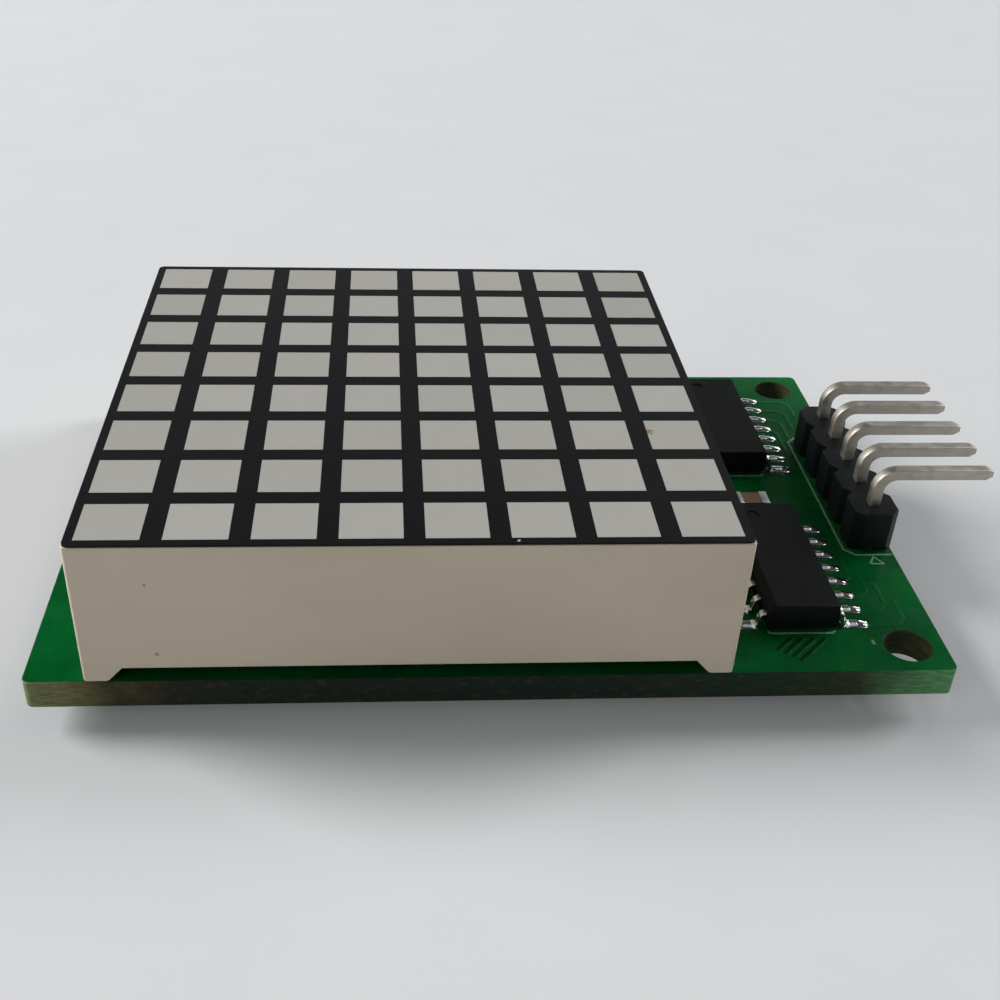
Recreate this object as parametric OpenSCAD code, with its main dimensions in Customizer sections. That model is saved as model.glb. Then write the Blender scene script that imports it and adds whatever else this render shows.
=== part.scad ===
// Square-dot LED matrix module: an 8 x 8 dot display on a circuit board, with two driver chips
// and a five-way pin header. All sizes are in millimetres. The module stands on its pin tips.

/* [Circuit board] */
// Thickness of the board
board_thick = 1.6; // [0.8:0.1:2.4]
// Board that shows to the left of the display
left_strip = 3; // [0.6:0.1:10]
// Board to the right of the display, under the chips and the header
right_strip = 11.7; // [11.4:0.1:20]
// Radius of the board's four corners
board_corner_r = 0.4; // [0.1:0.1:2]
// Diameter of the two mounting holes
mount_hole_d = 2.5; // [2:0.1:3]
// From a mounting hole's centre to the board's two nearest edges
mount_hole_inset = 2; // [1.8:0.1:2.3]

/* [Display face] */
// Side of one square dot
dot_size = 3; // [2.6:0.1:3.3]
// Black line between two dots
dot_gap = 1; // [0.7:0.1:1.4]
// Black rim outside the outer dots
face_rim = 0.5; // [0.4:0.1:1.5]
// Thickness of the black face layer
face_thick = 0.1; // [0.05:0.01:0.3]
// From the housing's sides to the edge of the black face
face_inset = 0.04; // [0.02:0.01:0.2]
// Radius of the black face's corners
face_corner_r = 0.35; // [0.1:0.05:0.6]
// How far the dots lie below the black face
dot_recess = 0.02; // [0.01:0.01:0.04]

/* [Display housing] */
// Height of the whole display, from its feet to its face
display_height = 8; // [6.5:0.1:12]
// Radius of the housing's upright corners
housing_corner_r = 0.2; // [0.05:0.05:0.6]
// Thickness of the skirt around the back cavity
skirt_wall = 0.7; // [0.5:0.05:0.85]
// Side of a dot's light well at the back of the housing
well_back = 2.2; // [1.6:0.1:2.4]
// Height of the four corner feet
foot_height = 0.8; // [0.5:0.1:1.2]
// Width of a foot's flat sole
foot_width = 1.2; // [0.9:0.1:3]
// Length of the slope from a foot up to the skirt's edge
foot_slope = 0.75; // [0.3:0.05:1.5]
// Radius where a foot's sole turns into its slope
foot_round = 0.4; // [0.1:0.05:0.6]

/* [Display inside] */
// Thickness of the board that carries the LED dies
substrate_thick = 1; // [0.6:0.1:1.6]
// Resin-filled gap between that board and the skirt
substrate_gap = 0.3; // [0.15:0.05:0.6]
// From the skirt's edge up to that board
substrate_lift = 0.4; // [0.2:0.1:0.8]
// Resin between that board and the back of the light wells
resin_web = 0.4; // [0.3:0.05:1]
// Side of an LED die
die_size = 0.3; // [0.2:0.05:0.5]
// Height of an LED die
die_height = 0.15; // [0.1:0.01:0.25]
// Thickness of the gold wire that joins a die to its board
wire_w = 0.03; // [0.02:0.005:0.05]
// From a die's middle to the far end of its wire
wire_span = 0.8; // [0.5:0.05:1]
// Height of the wire's loop
wire_loop = 0.2; // [0.1:0.05:0.3]

/* [Display pins] */
// Width of the display's square pins
display_pin_w = 0.5; // [0.4:0.01:0.55]
// Between neighbouring pins of one row
display_pin_pitch = 2.54; // [2:0.01:3.4]
// Between the two rows of pins
row_span = 24; // [20:0.1:26]
// How far every pin stands out below the board
pin_tail = 1.4; // [1.2:0.1:3]
// Diameter of the board's holes for the display pins
display_hole_d = 0.9; // [0.8:0.05:1.1]

/* [Pin header] */
// Between neighbouring header pins
header_pitch = 2.54; // [2.3:0.01:3]
// Width of the header's plastic body
header_width = 2.54; // [2.4:0.01:2.8]
// Height of the header's plastic body
header_height = 2.54; // [1.5:0.01:4]
// Corner cut on each segment of the body
header_notch = 0.5; // [0.2:0.05:0.8]
// Depth of the groove under the body
header_groove = 0.25; // [0.1:0.05:0.5]
// From the board's middle line back to the header's middle
header_shift = 0.75; // [-3:0.05:3]
// Width of the square header pins
header_pin_w = 0.64; // [0.5:0.01:0.7]
// Diameter of the board's holes for the header pins
header_hole_d = 1.1; // [1:0.05:1.2]
// From the body's top up to the middle of the pins' level part
pin_rise = 2; // [1.4:0.1:6]
// Radius of the pins' bend, at the middle of the wire
bend_r = 1; // [0.5:0.1:1.3]
// From the board's edge out to the pins' tips
pin_reach = 5.2; // [2:0.1:12]
// Length of the taper at each end of a pin
tip_length = 0.4; // [0.2:0.1:0.8]
// Width of a pin's blunt tip
tip_w = 0.36; // [0.2:0.02:0.44]

/* [Driver chips] */
// Length of a chip's body
chip_length = 9.9; // [9.5:0.1:10.3]
// Width of a chip's body
chip_width = 3.85; // [3.5:0.05:4.1]
// Height of a chip's body
chip_height = 1.4; // [1.2:0.05:1.8]
// Air under a chip's body
chip_standoff = 0.15; // [0.1:0.01:0.3]
// Mould draft on each face of a body, in degrees
chip_draft = 7; // [3:0.5:10]
// Bevel along the body's edge above the first row of leads
chip_bevel = 0.3; // [0.1:0.05:0.45]
// From the display's side to the chips' middle line
chip_offset = 4.4; // [4:0.1:4.9]
// Between the middles of the two chips
chip_spacing = 15.6; // [15:0.1:17]
// Between neighbouring leads
lead_pitch = 1.27; // [1:0.01:1.3]
// Width of a lead
lead_width = 0.42; // [0.3:0.01:0.5]
// Thickness of a lead
lead_thick = 0.2; // [0.15:0.01:0.25]
// From toe to toe across a chip
lead_span = 6; // [5.9:0.1:6.4]
// Flat length of a lead's foot
lead_foot = 0.5; // [0.35:0.05:0.6]
// Length of a lead inside the body
lead_root = 0.4; // [0.2:0.05:0.8]

/* [Capacitor and resistors] */
// Length of the capacitor
cap_length = 2; // [1.6:0.1:2.4]
// Width of the capacitor
cap_width = 1.25; // [0.8:0.05:1.6]
// Height of the capacitor
cap_height = 0.85; // [0.5:0.05:1.3]
// From midway between the chips back to the capacitor
cap_shift = -1.1; // [-1.3:0.1:1.3]
// Length of the capacitor's end caps
cap_end = 0.45; // [0.3:0.05:0.6]
// Length of a resistor
res_length = 1.6; // [1.2:0.1:2]
// Width of a resistor
res_width = 0.8; // [0.5:0.05:1]
// Height of a resistor
res_height = 0.45; // [0.3:0.05:0.6]
// Length of a resistor's end caps
res_end = 0.3; // [0.2:0.05:0.4]
// Between neighbouring resistors
res_pitch = 2.54; // [1.8:0.01:3.4]
// From the display's middle back to the row of resistors
res_shift = -6; // [-8:0.1:8]

/* [Copper and solder] */
// Thickness of the copper pads
pad_thick = 0.035; // [0.02:0.005:0.07]
// Width of the copper ring around a pin's hole
ring_width = 0.35; // [0.2:0.05:0.4]
// Width of a chip lead's pad
lead_pad_w = 0.6; // [0.5:0.01:0.8]
// How far a pad reaches past a chip lead's toe
lead_pad_out = 0.7; // [0.4:0.05:0.8]
// How far a pad reaches past the end of a capacitor or resistor
chip_pad_out = 0.4; // [0.2:0.05:0.5]
// Height of the solder cone on a pin
solder_cone = 0.9; // [0.5:0.05:1]
// Plating on the wall of a pin's hole
hole_plating = 0.025; // [0.02:0.005:0.04]

/* [Hidden] */
dots = 8;
header_count = 5;
leads_per_side = 8;
resistor_count = 8;
end_cap_wall = 0.03;
cut_over = 0.05;
bend_steps = 5;
wire_steps = 8;
$fn = 48;

// The display's plan
dot_pitch = dot_size + dot_gap;
display_side = dots * dot_size + (dots - 1) * dot_gap + 2 * face_rim;

// The module's plan: the origin lies under the middle of its whole length, pins included
board_length = left_strip + display_side + right_strip;
board_depth = display_side;
x_left = -(board_length + pin_reach) / 2;
x_right = x_left + board_length;
x_board = x_left + board_length / 2;
x_display = x_left + left_strip + display_side / 2;
x_chips = x_left + left_strip + display_side + chip_offset;
x_header = x_right - header_width / 2;
x_mount = x_right - mount_hole_inset;
y_mount = board_depth / 2 - mount_hole_inset;

// Heights: the pin tips stand at zero
z_under = pin_tail;
z_top = z_under + board_thick;
z_skirt = z_top + foot_height;
z_substrate = z_skirt + substrate_lift;
z_dies = z_substrate + substrate_thick;
z_wells = z_dies + resin_web;
z_face_top = z_top + display_height;
z_face = z_face_top - face_thick;
z_pads = z_top + pad_thick;
z_pin_axis = z_top + header_height + pin_rise;

cavity_side = display_side - 2 * skirt_wall;
substrate_side = cavity_side - 2 * substrate_gap;

// A chip's parting plane and where its leads bend
z_parting = chip_standoff + chip_height / 2;
lead_lean = 8;
lead_bend_r = lead_thick * 1.2;
lead_drop = z_parting - lead_thick / 2 - 2 * lead_bend_r * (1 - sin(lead_lean));
x_ankle = lead_span / 2 - lead_foot;
x_shoulder = x_ankle - 2 * lead_bend_r * cos(lead_lean) - lead_drop * tan(lead_lean);
lead_pad_length = lead_pad_out + lead_foot + lead_bend_r;

// ---- places -------------------------------------------------------------------------------

// Place of item i in an evenly spaced row of n, centred on zero
function row_at(i, n, pitch) = (i - (n - 1) / 2) * pitch;

// Display pins count along the front row from the left, then back along the rear row
function display_pin_at(i) = i <= dots
    ? [x_display + row_at(i - 1, dots, display_pin_pitch), -row_span / 2]
    : [x_display - row_at(i - 1 - dots, dots, display_pin_pitch), row_span / 2];

// Header pins count from the front of the board
function header_pin_at(i) = [x_header, header_shift + row_at(i - 1, header_count, header_pitch)];

function resistor_at(i) = [x_display + row_at(i - 1, resistor_count, res_pitch), res_shift];

module at_display_pins() {
    for (i = [1:2 * dots]) translate(display_pin_at(i)) children();
}

module at_header_pins() {
    for (i = [1:header_count]) translate(header_pin_at(i)) children();
}

module at_resistors() {
    for (i = [1:resistor_count]) translate(resistor_at(i)) children();
}

module at_capacitor() {
    translate([x_chips, cap_shift]) children();
}

module at_front_chip() {
    translate([x_chips, -chip_spacing / 2]) children();
}

module at_rear_chip() {
    translate([x_chips, chip_spacing / 2]) children();
}

// ---- shared shapes --------------------------------------------------------------------------

module rounded_rectangle(length, width, r) {
    square([length - 2 * r, width], center = true);
    square([length, width - 2 * r], center = true);
    for (x = [-1, 1], y = [-1, 1]) translate([x * (length / 2 - r), y * (width / 2 - r)]) circle(r);
}

module upright_box(size_x, size_y, z_low, z_high) {
    translate([-size_x / 2, -size_y / 2, z_low]) cube([size_x, size_y, z_high - z_low]);
}

// An outline drawn in X and Z, made into a prism that is centred along Y
module prism_along_y(width) {
    rotate([90, 0, 0]) linear_extrude(width, center = true) children();
}

// The same, with the outline drawn in Y and Z and the prism centred along X
module prism_along_x(width) {
    rotate([90, 0, 90]) linear_extrude(width, center = true) children();
}

// A hollow quarter curve from [width, 0] up to [0, height], as solder and fillets have
function hollow_curve(width, height, steps = 6) = [
    for (i = [0:steps]) [width * (1 - sin(90 * i / steps)), height * (1 - cos(90 * i / steps))]
];

// A strip of even thickness along a middle line, whose points are [x, z, heading]
function strip(line, thick) = concat(
    [for (p = line) [p[0] - thick / 2 * sin(p[2]), p[1] + thick / 2 * cos(p[2])]],
    [for (i = [len(line) - 1:-1:0]) let (p = line[i])
        [p[0] + thick / 2 * sin(p[2]), p[1] - thick / 2 * cos(p[2])]]);

// A square bar's end that tapers to a blunt tip, upright, starting at zero
module tapered_end(width, tip, length) {
    outline = [[-width / 2, 0], [width / 2, 0], [tip / 2, length], [-tip / 2, length]];
    intersection() {
        prism_along_y(width * 2) polygon(outline);
        prism_along_x(width * 2) polygon(outline);
    }
}

// ---- circuit board --------------------------------------------------------------------------

module circuit_board() {
    color([0.0, 0.36, 0.17])
    difference() {
        translate([x_board, 0, z_under])
            linear_extrude(board_thick) rounded_rectangle(board_length, board_depth, board_corner_r);
        for (y = [-1, 1]) translate([x_mount, y * y_mount]) board_hole(mount_hole_d);
        at_display_pins() board_hole(display_hole_d);
        at_header_pins() board_hole(header_hole_d);
    }
}

module board_hole(diameter) {
    translate([0, 0, z_under - 1]) cylinder(h = board_thick + 2, d = diameter);
}

// ---- copper pads ----------------------------------------------------------------------------

module ring_pad(hole_d, z) {
    translate([0, 0, z]) difference() {
        cylinder(h = pad_thick, d = hole_d + 2 * ring_width);
        translate([0, 0, -1]) cylinder(h = 2, d = hole_d);
    }
}

module ring_pads(z) {
    at_display_pins() ring_pad(display_hole_d, z);
    at_header_pins() ring_pad(header_hole_d, z);
}

module lead_pads() {
    for (side = [-1, 1], i = [0:leads_per_side - 1])
        translate([side * (lead_span / 2 + lead_pad_out - lead_pad_length / 2),
                   row_at(i, leads_per_side, lead_pitch)])
            upright_box(lead_pad_length, lead_pad_w, z_top, z_pads);
}

// Two pads under the end caps of a part that lies along X
module end_pads(length, width, end) {
    for (side = [-1, 1]) translate([side * (length / 2 + (chip_pad_out - end) / 2), 0])
        upright_box(chip_pad_out + end, width, z_top, z_pads);
}

module top_pads() {
    color([0.78, 0.76, 0.70]) {
        at_front_chip() lead_pads();
        at_rear_chip() lead_pads();
        at_capacitor() end_pads(cap_length, cap_width, cap_end);
        at_resistors() rotate(90) end_pads(res_length, res_width, res_end);
    }
}

module top_rings() {
    color([0.78, 0.76, 0.70]) ring_pads(z_top);
}

module bottom_pads() {
    color([0.78, 0.76, 0.70]) ring_pads(z_under - pad_thick);
}

// ---- display --------------------------------------------------------------------------------

// Width of a light well at height z: it widens from its back up to the face
function well_width(z) = well_back + (dot_size - well_back) * (z - z_wells) / (z_face - z_wells);

// All the light wells between two heights, as the crossing of tapered bars in rows and columns
module light_wells(z_low, z_high) {
    outline = [
        [-well_width(z_low) / 2, z_low], [well_width(z_low) / 2, z_low],
        [well_width(z_high) / 2, z_high], [-well_width(z_high) / 2, z_high]
    ];
    intersection() {
        for (i = [0:dots - 1]) translate([row_at(i, dots, dot_pitch), 0, 0])
            prism_along_y(display_side) polygon(outline);
        for (i = [0:dots - 1]) translate([0, row_at(i, dots, dot_pitch), 0])
            prism_along_x(display_side) polygon(outline);
    }
}

module at_dots() {
    for (i = [0:dots - 1], j = [0:dots - 1])
        translate([row_at(i, dots, dot_pitch), row_at(j, dots, dot_pitch), 0]) children();
}

// Every dot's straight square hole through the face
module dot_squares(z_low, z_high) {
    at_dots() upright_box(dot_size, dot_size, z_low, z_high);
}

// The space between two feet, seen from the side: level under the skirt, sloping to the soles
module foot_gap_outline() {
    slope = atan(foot_height / foot_slope);
    tangent = foot_round * tan(slope / 2);
    foot = display_side / 2 - foot_width;
    round_side = [
        for (i = [0:bend_steps]) let (a = slope * i / bend_steps)
            [foot + tangent - foot_round * sin(a), foot_round * (1 - cos(a))]
    ];
    right = concat(
        [[foot + tangent, -1]], round_side, [[foot - foot_slope, foot_height]]);
    polygon(concat(right, [for (i = [len(right) - 1:-1:0]) [-right[i][0], right[i][1]]]));
}

module display_housing() {
    color([0.86, 0.82, 0.76])
    translate([x_display, 0, 0])
    difference() {
        translate([0, 0, z_top])
            linear_extrude(display_height - face_thick)
                rounded_rectangle(display_side, display_side, housing_corner_r);
        light_wells(z_wells - cut_over, z_face + cut_over);
        upright_box(cavity_side, cavity_side, z_top - 1, z_wells);
        translate([0, 0, z_top]) {
            prism_along_y(display_side + 2) foot_gap_outline();
            prism_along_x(display_side + 2) foot_gap_outline();
        }
    }
}

module display_face() {
    face_side = display_side - 2 * face_inset;
    color([0.06, 0.06, 0.07])
    translate([x_display, 0, 0])
    difference() {
        translate([0, 0, z_face])
            linear_extrude(face_thick) rounded_rectangle(face_side, face_side, face_corner_r);
        dot_squares(z_face - 1, z_face_top + 1);
    }
}

// One casting: it fills the wells and the face's squares, and holds the LED board in the skirt
module display_resin() {
    color([0.66, 0.65, 0.62])
    translate([x_display, 0, 0])
    difference() {
        union() {
            light_wells(z_wells, z_face);
            dot_squares(z_face, z_face_top - dot_recess);
            upright_box(cavity_side, cavity_side, z_substrate, z_wells);
        }
        upright_box(substrate_side, substrate_side, z_substrate - 1, z_dies);
        all_dies();
        all_wires();
    }
}

module led_substrate() {
    color([0.80, 0.76, 0.55])
    difference() {
        translate([x_display, 0, 0])
            upright_box(substrate_side, substrate_side, z_substrate, z_dies);
        at_display_pins() upright_box(display_pin_w, display_pin_w, z_substrate - 1, z_dies + 1);
    }
}

module all_dies() {
    at_dots() upright_box(die_size, die_size, z_dies, z_dies + die_height);
}

module led_dies() {
    color([0.85, 0.75, 0.35]) translate([x_display, 0, 0]) all_dies();
}

// A wire's middle line as [x, z, heading]: straight up off the die, over, and down to the board
wire_line = [
    for (i = [0:wire_steps]) let (
        a = 180 * i / wire_steps,
        run = wire_span / 2 * sin(a),
        climb = wire_loop * cos(a) - die_height / PI
    ) [wire_span / 2 * (1 - cos(a)),
       z_dies + die_height * (1 - i / wire_steps) + wire_loop * sin(a),
       i == 0 ? 90 : i == wire_steps ? -90 : atan2(climb, run)]
];

module all_wires() {
    at_dots() prism_along_y(wire_w) polygon(strip(wire_line, wire_w));
}

module bond_wires() {
    color([0.90, 0.72, 0.25]) translate([x_display, 0, 0]) all_wires();
}

module display_pin(i) {
    color([0.75, 0.75, 0.73])
    translate(display_pin_at(i)) upright_box(display_pin_w, display_pin_w, 0, z_dies);
}

// ---- solder on the pins ---------------------------------------------------------------------

// Solder that fills a plated hole and stands as a hollow-sided cone on the ring below the board
module pin_solder(pin_w, hole_d) {
    barrel_r = hole_d / 2 - hole_plating;
    base_r = hole_d / 2 + ring_width - hole_plating;
    neck_r = pin_w * 0.75;
    cone = [
        for (p = hollow_curve(base_r - neck_r, solder_cone - pad_thick))
            [neck_r + p[0], z_under - pad_thick - p[1]]
    ];
    outline = concat(
        [[0, z_top], [barrel_r, z_top], [barrel_r, z_under - pad_thick]],
        cone, [[0, z_under - solder_cone]]);
    difference() {
        rotate_extrude() polygon(outline);
        upright_box(pin_w, pin_w, -1, z_top + 1);
    }
}

module display_solder() {
    color([0.82, 0.82, 0.80]) at_display_pins() pin_solder(display_pin_w, display_hole_d);
}

module header_solder() {
    color([0.82, 0.82, 0.80]) at_header_pins() pin_solder(header_pin_w, header_hole_d);
}

// ---- pin header -----------------------------------------------------------------------------

module header_segment_outline() {
    w = header_width / 2;
    p = header_pitch / 2;
    polygon([
        [-w, -p + header_notch], [-w + header_notch, -p], [w - header_notch, -p], [w, -p + header_notch],
        [w, p - header_notch], [w - header_notch, p], [-w + header_notch, p], [-w, p - header_notch]
    ]);
}

module header_body() {
    groove_w = header_hole_d + 2 * ring_width + 0.1;
    color([0.07, 0.07, 0.08])
    difference() {
        at_header_pins()
            translate([0, 0, z_top]) linear_extrude(header_height) header_segment_outline();
        at_header_pins() upright_box(header_pin_w, header_pin_w, z_top - 1, z_top + header_height + 1);
        translate([x_header, header_shift, 0])
            upright_box(groove_w, header_count * header_pitch + 2, z_top - 1, z_top + header_groove);
    }
}

module header_pin(i) {
    leg_top = z_pin_axis - bend_r;
    level_start = x_header + bend_r;
    level_end = x_right + pin_reach - tip_length;
    w = header_pin_w;
    color([0.72, 0.70, 0.66])
    translate([0, header_pin_at(i)[1], 0]) {
        translate([x_header, 0, 0]) {
            translate([0, 0, tip_length]) rotate([180, 0, 0]) tapered_end(w, tip_w, tip_length);
            upright_box(w, w, tip_length, leg_top);
        }
        translate([level_start, 0, leg_top]) rotate([90, 0, 0]) rotate(90)
            rotate_extrude(angle = 90) translate([bend_r, 0]) square(w, center = true);
        translate([level_start, -w / 2, z_pin_axis - w / 2]) cube([level_end - level_start, w, w]);
        translate([level_end, 0, z_pin_axis]) rotate([0, 90, 0]) tapered_end(w, tip_w, tip_length);
    }
}

// ---- driver chips ---------------------------------------------------------------------------

// A chip lies along Y with the board's top at z_top; its first row of leads is on the -X side.

// A body's cross-section across a width: widest at the parting plane, drafted above and below
function body_outline(width, bevel) = let (
    half = width / 2,
    inset = chip_height / 2 * tan(chip_draft),
    low = chip_standoff,
    high = chip_standoff + chip_height
) [
    [-half + inset, low], [half - inset, low], [half, z_parting], [half - inset, high],
    [-half + inset + bevel, high], [-half + inset * (1 - bevel / chip_height * 2), high - bevel],
    [-half, z_parting]
];

// A lead's middle line as [x, z, heading]: level out of the body, down, then level along its foot
lead_line = let (steep = 90 - lead_lean, foot_z = lead_thick / 2) concat(
    [[chip_width / 2 - lead_root, z_parting, 0]],
    [for (i = [0:bend_steps]) let (h = -steep * i / bend_steps)
        [x_shoulder - lead_bend_r * sin(h), z_parting - lead_bend_r * (1 - cos(h)), h]],
    [for (i = [bend_steps:-1:0]) let (h = -steep * i / bend_steps)
        [x_ankle + lead_bend_r * sin(h), foot_z + lead_bend_r * (1 - cos(h)), h]],
    [[lead_span / 2, foot_z, 0]]);

module chip_leads() {
    translate([0, 0, z_pads])
    for (side = [0, 1], i = [0:leads_per_side - 1])
        mirror([side, 0, 0]) translate([0, row_at(i, leads_per_side, lead_pitch), 0])
            prism_along_y(lead_width) polygon(strip(lead_line, lead_thick));
}

module chip_body() {
    dimple_r = chip_width / 10;
    difference() {
        translate([0, 0, z_pads]) intersection() {
            prism_along_y(chip_length + 2) polygon(body_outline(chip_width, chip_bevel));
            prism_along_x(chip_width + 2) polygon(body_outline(chip_length, cut_over));
        }
        chip_leads();
        translate([-chip_width / 2 + 3 * dimple_r, chip_length / 2 - 3 * dimple_r,
                   z_pads + chip_standoff + chip_height - cut_over])
            cylinder(h = 1, r = dimple_r);
    }
}

module front_chip_body() {
    color([0.12, 0.12, 0.13]) at_front_chip() chip_body();
}

module front_chip_leads() {
    color([0.80, 0.80, 0.78]) at_front_chip() chip_leads();
}

module rear_chip_body() {
    color([0.12, 0.12, 0.13]) at_rear_chip() chip_body();
}

module rear_chip_leads() {
    color([0.80, 0.80, 0.78]) at_rear_chip() chip_leads();
}

// Solder that runs from a lead's toe down to the end of its pad
module lead_solder() {
    for (side = [0, 1], i = [0:leads_per_side - 1])
        mirror([side, 0, 0])
            translate([lead_span / 2, row_at(i, leads_per_side, lead_pitch), z_pads])
                prism_along_y(lead_width)
                    polygon(concat([[0, 0]], hollow_curve(lead_pad_out, lead_thick)));
}

module chip_solder() {
    color([0.82, 0.82, 0.80]) {
        at_front_chip() lead_solder();
        at_rear_chip() lead_solder();
    }
}

// ---- capacitor and resistors ----------------------------------------------------------------

// A ceramic block that lies along X, thinner by the wall of the end caps that wrap it
module block(length, width, height) {
    upright_box(length - 2 * end_cap_wall, width - 2 * end_cap_wall,
                z_pads + end_cap_wall, z_pads + height - end_cap_wall);
}

module end_caps(length, width, height, end) {
    difference() {
        for (side = [-1, 1]) translate([side * (length - end) / 2, 0, 0])
            upright_box(end, width, z_pads, z_pads + height);
        block(length, width, height);
    }
}

// Solder that climbs both ends of such a part from the pads
module end_solder(length, width, height) {
    for (side = [0, 1]) mirror([side, 0, 0]) translate([length / 2, 0, z_pads])
        prism_along_y(width) polygon(concat([[0, 0]], hollow_curve(chip_pad_out, height * 0.6)));
}

module capacitor_body() {
    color([0.45, 0.33, 0.25]) at_capacitor() block(cap_length, cap_width, cap_height);
}

module capacitor_ends() {
    color([0.75, 0.74, 0.72]) at_capacitor() end_caps(cap_length, cap_width, cap_height, cap_end);
}

module resistor(i) {
    color([0.15, 0.15, 0.16])
    translate(resistor_at(i)) rotate(90) block(res_length, res_width, res_height);
}

module resistor_ends() {
    color([0.75, 0.74, 0.72])
    at_resistors() rotate(90) end_caps(res_length, res_width, res_height, res_end);
}

module small_part_solder() {
    color([0.82, 0.82, 0.80]) {
        at_capacitor() end_solder(cap_length, cap_width, cap_height);
        at_resistors() rotate(90) end_solder(res_length, res_width, res_height);
    }
}

// ---- the nodes ------------------------------------------------------------------------------

circuit_board();
top_pads();
top_rings();
bottom_pads();
display_housing();
display_face();
display_resin();
led_substrate();
led_dies();
bond_wires();
for (i = [1:2 * dots])
    display_pin(i);
display_solder();
header_body();
for (i = [1:header_count])
    header_pin(i);
header_solder();
front_chip_body();
front_chip_leads();
rear_chip_body();
rear_chip_leads();
chip_solder();
capacitor_body();
capacitor_ends();
for (i = [1:resistor_count])
    resistor(i);
resistor_ends();
small_part_solder();
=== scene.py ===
import math

import bmesh
import bpy
from mathutils import Euler, Matrix, Vector


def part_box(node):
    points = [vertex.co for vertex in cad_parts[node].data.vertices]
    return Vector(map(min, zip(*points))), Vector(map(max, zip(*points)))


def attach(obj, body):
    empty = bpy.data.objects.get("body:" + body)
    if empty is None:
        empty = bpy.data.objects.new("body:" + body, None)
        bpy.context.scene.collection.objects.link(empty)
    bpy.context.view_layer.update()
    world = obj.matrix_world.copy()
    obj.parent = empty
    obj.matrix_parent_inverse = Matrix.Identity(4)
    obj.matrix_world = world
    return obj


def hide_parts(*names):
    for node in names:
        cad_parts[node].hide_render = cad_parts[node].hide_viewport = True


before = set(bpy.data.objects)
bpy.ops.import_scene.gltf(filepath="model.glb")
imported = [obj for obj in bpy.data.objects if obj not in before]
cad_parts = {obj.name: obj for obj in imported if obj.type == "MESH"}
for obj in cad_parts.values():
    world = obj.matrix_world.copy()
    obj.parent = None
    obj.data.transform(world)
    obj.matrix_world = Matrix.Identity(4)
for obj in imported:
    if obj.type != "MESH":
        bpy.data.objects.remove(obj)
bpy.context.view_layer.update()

# The looks of a square-dot LED matrix module. It lies along X with its pin header at +X, the
# display's face up and its pin tips on the floor at zero. Everything is in metres.

MM = 0.001

# ---- sizes that the frame gives ---------------------------------------------------------------


def size_of(node):
    low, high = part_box(node)
    return high - low


def middle_of(node):
    low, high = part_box(node)
    return (low + high) / 2


BOARD_LOW, BOARD_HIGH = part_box("circuit_board")
HOUSING_LOW, HOUSING_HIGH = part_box("display_housing")
FACE_LOW, FACE_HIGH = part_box("display_face")
RESIN_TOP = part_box("display_resin")[1].z
BOARD_TOP = BOARD_HIGH.z
BOARD_UNDER = BOARD_LOW.z
PAD_THICK = size_of("top_pads").z
DISPLAY = middle_of("display_housing")
HEADER = middle_of("header_body")
CHIPS = {"front": middle_of("front_chip_body"), "rear": middle_of("rear_chip_body")}

# ---- sizes of this module's own parts -----------------------------------------------------------

DOTS = 8
DOT_PITCH = size_of("display_housing").x / DOTS
DOT_SIDE = 0.75 * DOT_PITCH
HEADER_PINS = 5
HEADER_PITCH = size_of("header_body").y / HEADER_PINS
PIN_WIDTH = size_of("header_pin_1").y
PIN_TIP = 0.36 * MM
PIN_TAPER = 0.4 * MM
PIN_BEND = 1.0 * MM
PIN_HOLE = 1.1 * MM
DISPLAY_PIN_WIDTH = size_of("display_pin_1").x
DISPLAY_PIN_PITCH = 2.54 * MM
DISPLAY_PIN_ROWS = middle_of("display_pin_9").y - middle_of("display_pin_1").y
DISPLAY_PIN_HOLE = 0.9 * MM
LEADS = 8
LEAD_PITCH = 1.27 * MM
LEAD_WIDTH = 0.42 * MM
LEAD_THICK = 0.2 * MM
LEAD_BEND = 0.24 * MM
LEAD_FOOT = 0.5 * MM
LEAD_LEAN = math.radians(8)
LEAD_ROOT = 0.4 * MM
LEAD_HALF_SPAN = size_of("front_chip_leads").x / 2
LEAD_LEVEL = middle_of("front_chip_body").z
SOLDER_CONE = 0.9 * MM
RING_WIDTH = 0.35 * MM
HOLE_PLATING = 0.025 * MM
LEAD_PAD_OUT = 0.7 * MM
LEAD_PAD_WIDTH = 0.6 * MM

# ---- camera -------------------------------------------------------------------------------------

CAMERA_PLACE = (-8.25 * MM, -63.93 * MM, 44.47 * MM)
CAMERA_HEADING = math.radians(4.82)
CAMERA_DIP = math.radians(34.65)
CAMERA_ROLL = math.radians(-2.39)
CAMERA_LENS = 45.98
CAMERA_SHIFT = (0.025, 0.04)


def make_camera():
    camera = bpy.data.objects.new("camera", bpy.data.cameras.new("camera"))
    camera.data.lens = CAMERA_LENS
    camera.data.sensor_width = 36
    camera.data.shift_x, camera.data.shift_y = CAMERA_SHIFT
    camera.data.clip_start = 1 * MM
    camera.data.clip_end = 10
    turn = Matrix.Rotation(-CAMERA_HEADING, 4, "Z")
    tilt = Matrix.Rotation(math.radians(90) - CAMERA_DIP, 4, "X")
    roll = Matrix.Rotation(-CAMERA_ROLL, 4, "Z")
    camera.matrix_world = Matrix.Translation(CAMERA_PLACE) @ turn @ tilt @ roll
    bpy.context.scene.collection.objects.link(camera)
    bpy.context.scene.camera = camera


# ---- node trees ---------------------------------------------------------------------------------


def add(tree, kind, plugs=None, **settings):
    """Adds one node. Each plug links an input to another node's output, or sets its value."""
    node = tree.nodes.new(kind)
    for name, value in settings.items():
        setattr(node, name, value)
    for name, value in (plugs or {}).items():
        if isinstance(value, bpy.types.NodeSocket):
            tree.links.new(value, node.inputs[name])
        else:
            node.inputs[name].default_value = value
    return node


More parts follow.
